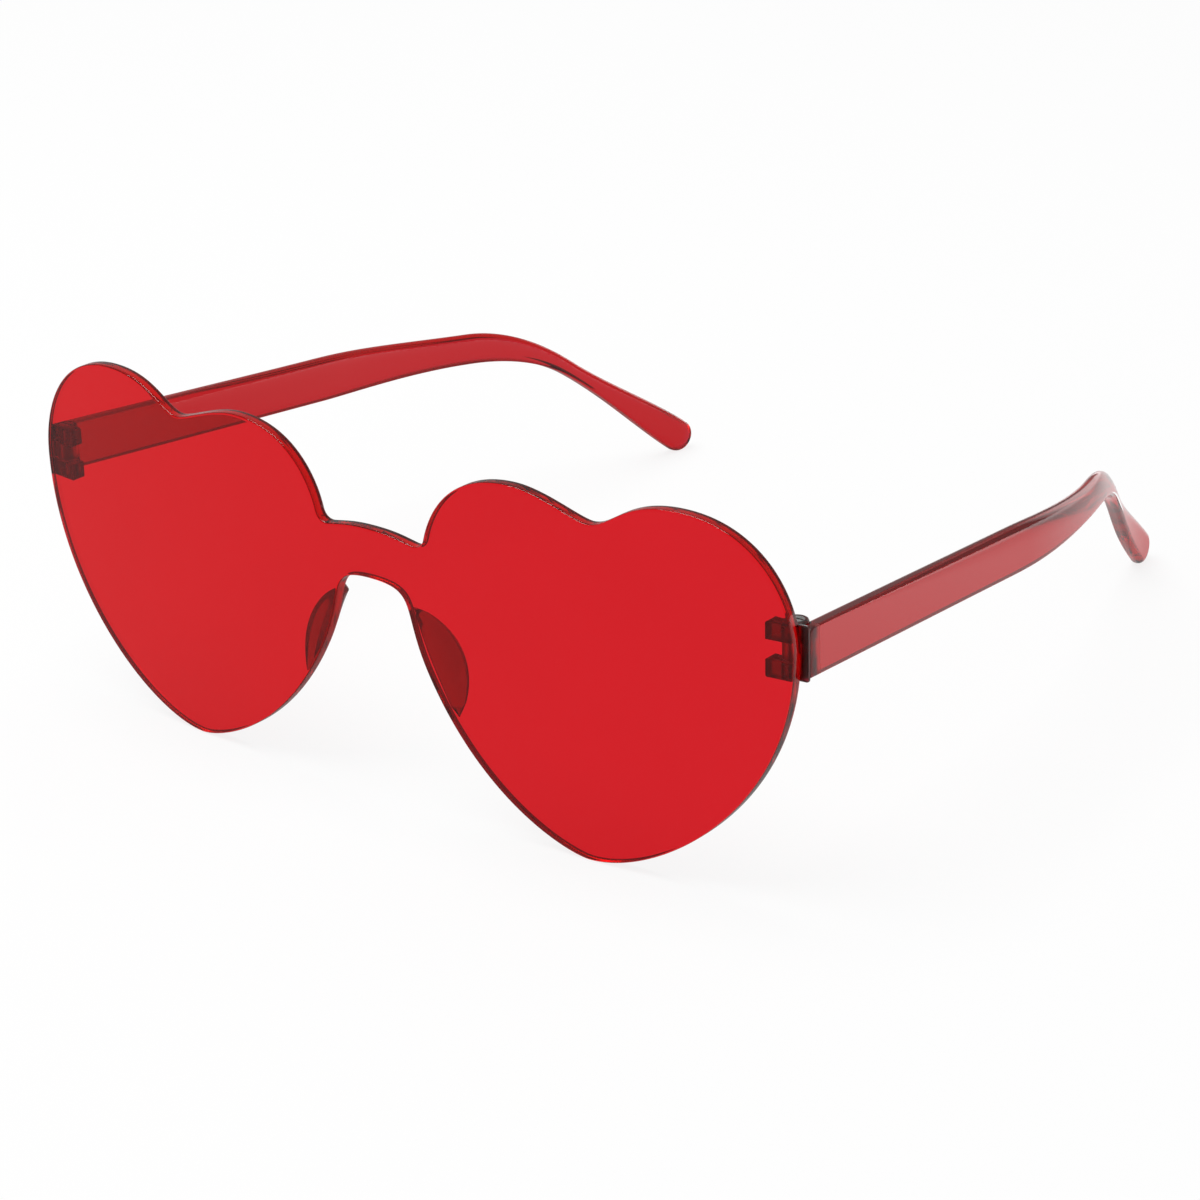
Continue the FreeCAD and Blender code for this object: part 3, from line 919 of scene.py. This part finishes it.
class NodeBench:
    """A node tree, emptied, with short calls to add and join nodes."""

    def __init__(self, tree, output):
        self.tree = tree
        self.tree.nodes.clear()
        self.output = self.add(output)

    def add(self, kind, **values):
        node = self.tree.nodes.new(kind)
        for key, value in values.items():
            setattr(node, key, value)
        return node

    def join(self, source, target):
        self.tree.links.new(source, target)

    def feed(self, value, target):
        """Join a socket, or set a plain value."""
        if isinstance(value, bpy.types.NodeSocket):
            self.join(value, target)
        else:
            target.default_value = value

    def math(self, operation, first, second):
        """One step of arithmetic, clamped to the range 0 to 1."""
        node = self.add("ShaderNodeMath", operation=operation, use_clamp=True)
        self.feed(first, node.inputs[0])
        self.feed(second, node.inputs[1])
        return node.outputs["Value"]

    def where(self, kind="Object"):
        """Places on an object, or directions in the world as Generated."""
        return self.add("ShaderNodeTexCoord").outputs[kind]

    def axis(self, where, letter):
        """One coordinate of a place or direction."""
        node = self.add("ShaderNodeSeparateXYZ")
        self.join(where, node.inputs["Vector"])
        return node.outputs[letter]

    def dot(self, where, direction):
        """How far a place or direction goes along another."""
        node = self.add("ShaderNodeVectorMath", operation="DOT_PRODUCT")
        self.join(where, node.inputs[0])
        node.inputs[1].default_value = direction
        return node.outputs["Value"]

    def bump(self, height, relief, shader):
        """Fine relief on a shader."""
        node = self.add("ShaderNodeBump")
        node.inputs["Strength"].default_value, node.inputs["Distance"].default_value = relief
        self.join(height, node.inputs["Height"])
        self.join(node.outputs["Normal"], shader.inputs["Normal"])

    def rays(self):
        """Light path outputs, and the rays of mirror gloss, which are glossy but not transmitted."""
        paths = self.add("ShaderNodeLightPath").outputs
        return paths, self.math("SUBTRACT", paths["Is Glossy Ray"], paths["Is Transmission Ray"])

    def noise(self, scale, detail, stretch=(1.0, 1.0, 1.0)):
        """Noise on Object coordinates, stretched by a mapping; the scale is in cells per metre."""
        mapping = self.add("ShaderNodeMapping")
        mapping.inputs["Scale"].default_value = stretch
        self.join(self.where(), mapping.inputs["Vector"])
        noise = self.add("ShaderNodeTexNoise")
        noise.inputs["Scale"].default_value = scale
        noise.inputs["Detail"].default_value = detail
        self.join(mapping.outputs["Vector"], noise.inputs["Vector"])
        return noise.outputs["Fac"]

    def spread(self, value, low, high, start=0.3, end=0.7):
        """Map a value on to a range, held at both ends."""
        node = self.add("ShaderNodeMapRange")
        node.inputs["From Min"].default_value = start
        node.inputs["From Max"].default_value = end
        self.feed(low, node.inputs["To Min"])
        self.feed(high, node.inputs["To Max"])
        self.join(value, node.inputs["Value"])
        return node.outputs["Result"]

    def blend(self, factor, first, second):
        """Mix of two colours, the first plain or from a socket."""
        node = self.add("ShaderNodeMix", data_type="RGBA")
        self.feed(first if isinstance(first, bpy.types.NodeSocket) else (*first, 1.0), node.inputs["A"])
        self.feed((*second, 1.0), node.inputs["B"])
        self.join(factor, node.inputs["Factor"])
        return node.outputs["Result"]


def new_material(name):
    """A material with an empty bench."""
    material = bpy.data.materials.new(name)
    material.use_nodes = True
    return material, NodeBench(material.node_tree, "ShaderNodeOutputMaterial")


def clear_plastic(
    name, scene, tint, depth, density=1.0, gloss=1.0, haze=(0.004, 0.03), matt_to=None, cut=None
):
    """Clear red plastic: refraction, absorption by depth, faint haze from handling and slow mould ripple.

    With matt_to the plastic ahead of that depth y is as matt as the mould leaves it. With cut, a colour,
    the marked edge is matt and takes that colour as painted shade.
    """
    finish = scene.shades_finish
    material, bench = new_material(name)
    shader = bench.add("ShaderNodeBsdfPrincipled")
    shader.inputs["Transmission Weight"].default_value = 1.0
    shader.inputs["IOR"].default_value = finish.refraction
    shader.inputs["Specular Tint"].default_value = (gloss, gloss, gloss, 1.0)
    tint = np.array(tint)
    cloud = bench.spread(bench.noise(*CLOUD_NOISE), 0.0, 1.0)
    colour = bench.blend(cloud, tint, np.clip(tint * (0.985, 0.95, 0.95), 0.0, 1.0))
    smudge = bench.spread(bench.noise(*SMUDGE_NOISE), haze[0], haze[1], 0.45, 0.75)
    # Painted shade: the marked back edge of the rim takes the dark colour given as cut, and turns matt
    if cut is not None:
        edge = bench.add("ShaderNodeAttribute", attribute_name=MATT_EDGE_SHADE).outputs["Fac"]
        colour = bench.blend(bench.spread(edge, 0.0, 1.0, *MATT_AND_SHADE_BLEND), colour, cut)
        smudge = bench.spread(edge, smudge, finish.cut_matt, *MATT_AND_SHADE_BLEND)
    bench.join(colour, shader.inputs["Base Color"])
    if matt_to is not None:
        place = bench.axis(bench.where(), "Y")
        smudge = bench.spread(place, finish.mould_matt, smudge, matt_to - MATT_BORDER, matt_to)
    bench.join(smudge, shader.inputs["Roughness"])
    bench.bump(bench.noise(*RIPPLE_NOISE), MOULD_RELIEF, shader)
    volume = bench.add("ShaderNodeVolumeAbsorption")
    volume.inputs["Color"].default_value = (*depth, 1.0)
    volume.inputs["Density"].default_value = finish.density * density
    bench.join(shader.outputs["BSDF"], bench.output.inputs["Surface"])
    bench.join(volume.outputs["Volume"], bench.output.inputs["Volume"])
    return material


def turned_steel(name, scene):
    """Steel of the screws: fine turning lines round the upright axis and dull patches."""
    finish = scene.shades_finish
    material, bench = new_material(name)
    shader = bench.add("ShaderNodeBsdfPrincipled")
    shader.inputs["Metallic"].default_value = 1.0
    steel = np.array(finish.steel)
    lines = bench.noise(*TURNING_NOISE, (1.0, 1.0, 14.0))
    bench.join(bench.blend(bench.spread(lines, 0.0, 1.0), steel, steel * 0.78), shader.inputs["Base Color"])
    bench.join(bench.spread(bench.noise(*DULL_NOISE), 0.22, 0.42), shader.inputs["Roughness"])
    bench.bump(lines, TURNING_RELIEF, shader)
    bench.join(shader.outputs["BSDF"], bench.output.inputs["Surface"])
    return material


def pale_floor(scene):
    """Floor: matt white that keeps the shadow, and plain white for rays that show the background.

    In mirror gloss the white fades along the floor, from bright at the back right to dim at the front
    left, as a lit sweep does towards a dim room, and is brightest under the lit backdrop. Seen through
    plastic the white dims at the back right.
    """
    stage = scene.shades_stage
    material, bench = new_material("pale_floor")
    paths, mirror = bench.rays()
    shown = bench.math("ADD", bench.math("ADD", paths["Is Camera Ray"], mirror), paths["Is Transmission Ray"])
    fade = Vector((*stage.floor_fade, 0.0))
    place = bench.where()
    behind = bench.axis(place, "Y")
    far = bench.spread(behind, stage.floor_gloss[1], stage.backdrop_gloss, *stage.backdrop_floor)
    glow = bench.spread(bench.dot(place, fade / fade.length_squared), stage.floor_gloss[0], far, 0.0, 1.0)
    aside = bench.dot(place, (1.0, stage.floor_slant, 0.0))
    dim = bench.spread(behind, 1.0, stage.floor_dim, *stage.floor_back)
    through = bench.spread(aside, 1.0, dim, *stage.floor_end)
    strength = bench.spread(mirror, 1.0, glow, 0.0, 1.0)
    strength = bench.spread(paths["Is Transmission Ray"], strength, through, 0.0, 1.0)
    matt = bench.add("ShaderNodeBsdfDiffuse")
    matt.inputs["Color"].default_value = (0.9, 0.9, 0.9, 1.0)
    white = bench.add("ShaderNodeEmission")
    bench.join(strength, white.inputs["Strength"])
    mix = bench.add("ShaderNodeMixShader")
    bench.join(bench.math("MULTIPLY", shown, 1.0 - stage.shadow_share), mix.inputs["Fac"])
    bench.join(matt.outputs["BSDF"], mix.inputs[1])
    bench.join(white.outputs["Emission"], mix.inputs[2])
    bench.join(mix.outputs["Shader"], bench.output.inputs["Surface"])
    return material


class SHADES_OT_shield(bpy.types.Operator):
    """Build the one-piece heart shield."""

    bl_idname = "shades.shield"
    bl_label = "Heart shield"

    def execute(self, context):
        scene = context.scene
        sheet = scene.shades_shield
        mesh = closed_mesh("clear_shield", shield_grid(sheet), scene, marks=matt_and_shade_marks(sheet))
        look = scene.shades_finish
        finish = clear_plastic(
            "shield_clear_red", scene, look.sheet_tint, look.depth_tint,
            gloss=look.shield_gloss, cut=look.painted_edge_shade,
        )
        put("clear_shield", mesh, finish, "front", "lens_shield")
        return {"FINISHED"}


class SHADES_OT_temples(bpy.types.Operator):
    """Build the two temples with the hinge tongue and the recesses for the ears."""

    bl_idname = "shades.temples"
    bl_label = "Temples"

    def execute(self, context):
        scene = context.scene
        arm, hinge = scene.shades_temple, scene.shades_hinge
        place = hinge_place(scene)
        front = temple_front(scene)
        look = scene.shades_finish
        matt_to = HINGE_POINT[1] - hinge.butt_forward + hinge.butt_gap + look.matt_length
        finish = clear_plastic(
            "temple_clear_red", scene, look.temple_tint, look.temple_depth_tint, look.temple_density,
            haze=(0.006, 0.05), matt_to=matt_to,
        )
        half = hinge.tongue_height / 2
        recess = hinge.knuckle_radius + hinge.clearance
        low, high = place[2] - half, place[2] + half
        for word, side in SIDES:
            body = closed_mesh(f"{word}_temple", temple_grid(arm, scene), scene, side, capped=True)
            tools = []
            hollow = recess_loop(recess, place, front)
            for bottom, top in ((low - hinge.block_height, low), (high, high + hinge.block_height)):
                tools.append(("DIFFERENCE", tool("ear_recess", hollow, bottom, top, scene, side)))
            loop = tongue_loop(scene, place[0] + recess + TONGUE_ROOT)
            rings = upright_prism(loop, low, high, TONGUE_ROUND)
            tools.append(("UNION", closed_mesh("tongue", rings, scene, side, capped=True)))
            bore = circle(hinge.screw_radius + TONGUE_BORE_PLAY, place)
            tools.append(("DIFFERENCE", tool("bore", bore, low - half, high + half, scene, side)))
            mesh = combined(body, tools)
            put(f"{word}_temple", mesh, finish, f"{word}_arm", f"temple_{word}")
        return {"FINISHED"}


class SHADES_OT_nose_pads(bpy.types.Operator):
    """Build the two crowned nose pads on the back of the shield."""

    bl_idname = "shades.nose_pads"
    bl_label = "Nose pads"

    def execute(self, context):
        scene = context.scene
        look = scene.shades_finish
        finish = clear_plastic(
            "pad_clear_red", scene, look.pad_tint, look.temple_depth_tint, look.pad_density, haze=(0.03, 0.1)
        )
        for word, side in SIDES:
            mesh = closed_mesh(f"{word}_nose_pad", pad_grid(scene.shades_pad, scene), scene, side)
            put(f"{word}_nose_pad", mesh, finish, "front", f"nose_pad_{word}")
        return {"FINISHED"}


class SHADES_OT_hinge_blocks(bpy.types.Operator):
    """Build the two hinge blocks with their ears, slot and bore."""

    bl_idname = "shades.hinge_blocks"
    bl_label = "Hinge blocks"

    def execute(self, context):
        scene = context.scene
        sheet, hinge = scene.shades_shield, scene.shades_hinge
        place = hinge_place(scene)
        low, high = block_levels(scene)
        slot = hinge.tongue_height / 2 + hinge.tongue_play
        look = scene.shades_finish
        finish = clear_plastic(
            "hinge_clear_red", scene, look.hinge_tint, look.temple_depth_tint, look.hinge_density,
            haze=(0.25, 0.4),
        )
        for word, side in SIDES:
            rings = upright_prism(block_loop(scene), low, high, hinge.edge_round, sheet)
            body = closed_mesh(f"{word}_hinge_block", rings, scene, side, capped=True)
            inner = place[0] - 2 * hinge.knuckle_radius - hinge.shoulder
            outer = place[0] + hinge.knuckle_radius + hinge.clearance
            near, far = place[1] - SLOT_REACH, place[1] + SLOT_REACH
            gap = np.array(((inner, near), (outer, near), (outer, far), (inner, far)))
            bore = circle(hinge.screw_radius + BLOCK_BORE_PLAY, place)
            head = circle(hinge.head_radius + BLOCK_BORE_PLAY, place)
            tools = [
                ("DIFFERENCE", tool("slot", gap, place[2] - slot, place[2] + slot, scene, side)),
                ("DIFFERENCE", tool("bore", bore, low - slot, high + slot, scene, side)),
                ("DIFFERENCE", tool("head", head, high - hinge.head_height, high + slot, scene, side)),
            ]
            mesh = combined(body, tools)
            put(f"{word}_hinge_block", mesh, finish, "front", f"hinge_block_{word}")
        return {"FINISHED"}


class SHADES_OT_hinge_screws(bpy.types.Operator):
    """Build the two slotted hinge screws."""

    bl_idname = "shades.hinge_screws"
    bl_label = "Hinge screws"

    def execute(self, context):
        scene = context.scene
        hinge = scene.shades_hinge
        place = hinge_place(scene)
        low, high = block_levels(scene)
        shank, head, edge = hinge.screw_radius, hinge.head_radius, SCREW_BEVEL
        neck = high - hinge.head_height
        profile = np.array((
            (0.0, low),
            (shank - edge, low),
            (shank, low + edge),
            (shank, neck - edge),
            (shank, neck),
            (head, neck),
            (head, neck + edge),
            (head, high - edge),
            (head - 0.3 * edge, high - 0.3 * edge),
            (head - edge, high),
            (0.0, high),
        ))
        finish = turned_steel("screw_steel", scene)
        wide, slim = head + OVERRUN, hinge.slot_width / 2
        cut = np.array(((-wide, -slim), (wide, -slim), (wide, slim), (-wide, slim))) + place[:2]
        for word, side in SIDES:
            body = closed_mesh(f"{word}_hinge_screw", lathe(profile, place), scene, side)
            slot = tool("slot", cut, high - hinge.slot_width, high + OVERRUN, scene, side)
            mesh = combined(body, [("DIFFERENCE", slot)])
            put(f"{word}_hinge_screw", mesh, finish, "front", f"hinge_screw_{word}")
        return {"FINISHED"}


class SHADES_OT_stage(bpy.types.Operator):
    """Set up the floor, the light and the camera."""

    bl_idname = "shades.stage"
    bl_label = "Stage"

    def execute(self, context):
        scene = context.scene
        stage = scene.shades_stage
        self.floor(scene, stage)
        self.room(scene, stage)
        self.softbox(scene, stage)
        self.camera(scene, stage)
        self.light_paths(scene, stage)
        scene.view_settings.view_transform = "Standard"
        return {"FINISHED"}

    def floor(self, scene, stage):
        """A flat disc of rings just under the part."""
        radius = np.array((0.0, 0.2, 0.6, 1.5, stage.floor_size))
        turn = np.linspace(0.0, 2 * math.pi, 64, endpoint=False)
        grid = np.zeros((len(radius), len(turn), 3))
        grid[..., 0] = radius[:, None] * np.cos(turn)
        grid[..., 1] = radius[:, None] * np.sin(turn)
        grid[..., 2] = -FLOOR_GAP
        mesh = bpy.data.meshes.new("floor")
        mesh.from_pydata(grid.reshape(-1, 3).tolist(), [], ring_faces(len(radius), len(turn)).tolist())
        mesh.materials.append(pale_floor(scene))
        floor = bpy.data.objects.new("floor", mesh)
        scene.collection.objects.link(floor)

    def room(self, scene, stage):
        """Even light from all round, white as a background, dimmer overhead where plastic shows it.

        Mirror gloss shows a lit backdrop behind the object.
        """
        world = bpy.data.worlds.new("room")
        world.use_nodes = True
        bench = NodeBench(world.node_tree, "ShaderNodeOutputWorld")
        paths, mirror = bench.rays()
        direction = bench.where("Generated")
        through = bench.spread(bench.axis(direction, "Z"), *stage.room_through, 0.1, 0.5)
        toward = bench.dot(direction, Vector(stage.backdrop_way).normalized())
        gloss = bench.spread(toward, stage.room_gloss, stage.backdrop_gloss, *stage.backdrop_edge)
        strength = bench.spread(mirror, stage.room_light, gloss, 0.0, 1.0)
        strength = bench.spread(paths["Is Transmission Ray"], strength, through, 0.0, 1.0)
        strength = bench.spread(paths["Is Camera Ray"], strength, 1.0, 0.0, 1.0)
        light = bench.add("ShaderNodeBackground")
        light.inputs["Color"].default_value = (1.0, 1.0, 1.0, 1.0)
        bench.join(strength, light.inputs["Strength"])
        bench.join(light.outputs["Background"], bench.output.inputs["Surface"])
        scene.world = world

    def softbox(self, scene, stage):
        """One wide soft lamp above and behind the left shoulder of the camera."""
        lamp = bpy.data.lights.new("softbox", "AREA")
        lamp.shape = "DISK"
        lamp.size = SOFTBOX_SIZE
        lamp.energy = stage.softbox_power
        box = bpy.data.objects.new("softbox", lamp)
        box.location = SOFTBOX_PLACE
        box.rotation_euler = (-Vector(box.location)).to_track_quat("-Z", "Y").to_euler()
        scene.collection.objects.link(box)

    def camera(self, scene, stage):
        """Camera on a sphere round its aim: azimuth from -Y to +X, elevation, roll about its own axis."""
        turn, rise, roll = stage.azimuth, stage.elevation, stage.roll
        back = Vector((math.sin(turn) * math.cos(rise), -math.cos(turn) * math.cos(rise), math.sin(rise)))
        right = Vector((math.cos(turn), math.sin(turn), 0.0))
        up = back.cross(right)
        across = math.cos(roll) * right + math.sin(roll) * up
        upward = math.cos(roll) * up - math.sin(roll) * right
        data = bpy.data.cameras.new("photo_camera")
        data.lens = stage.lens
        data.sensor_width = 36.0
        data.clip_start = 0.01
        camera = bpy.data.objects.new("photo_camera", data)
        place = Matrix((across, upward, back)).transposed().to_4x4()
        place.translation = Vector(stage.aim) + back * stage.distance
        camera.matrix_world = place
        scene.collection.objects.link(camera)
        scene.camera = camera

    def light_paths(self, scene, stage):
        """Enough bounces for light to find its way out of the polished rims."""
        scene.cycles.max_bounces = stage.bounces
        scene.cycles.glossy_bounces = stage.bounces
        scene.cycles.transmission_bounces = stage.bounces


class SHADES_PT_sunglasses(bpy.types.Panel):
    """Lists the pieces and their settings."""

    bl_idname = "SHADES_PT_sunglasses"
    bl_label = "Heart Sunglasses"
    bl_space_type = "VIEW_3D"
    bl_region_type = "UI"
    bl_category = "Sunglasses"

    def draw(self, context):
        for operator in OPERATORS:
            self.layout.operator(operator.bl_idname)
        for name, group in SETTINGS.items():
            box = self.layout.box()
            for key in group.__annotations__:
                box.prop(getattr(context.scene, name), key)


SETTINGS = {
    "shades_shield": ShieldSettings,
    "shades_temple": TempleSettings,
    "shades_pad": PadSettings,
    "shades_hinge": HingeSettings,
    "shades_finish": FinishSettings,
    "shades_stage": StageSettings,
}
OPERATORS = (
    SHADES_OT_shield,
    SHADES_OT_temples,
    SHADES_OT_nose_pads,
    SHADES_OT_hinge_blocks,
    SHADES_OT_hinge_screws,
    SHADES_OT_stage,
)


def register():
    for group in SETTINGS.values():
        bpy.utils.register_class(group)
    for item in OPERATORS + (SHADES_PT_sunglasses,):
        bpy.utils.register_class(item)
    for name, group in SETTINGS.items():
        setattr(bpy.types.Scene, name, PointerProperty(type=group))


def unregister():
    for name in SETTINGS:
        delattr(bpy.types.Scene, name)
    for item in (SHADES_PT_sunglasses,) + OPERATORS[::-1]:
        bpy.utils.unregister_class(item)
    for group in list(SETTINGS.values())[::-1]:
        bpy.utils.unregister_class(group)


def main():
    register()
    bpy.ops.shades.shield()
    bpy.ops.shades.temples()
    bpy.ops.shades.nose_pads()
    bpy.ops.shades.hinge_blocks()
    bpy.ops.shades.hinge_screws()
    bpy.ops.shades.stage()


if __name__ == "__main__":
    main()
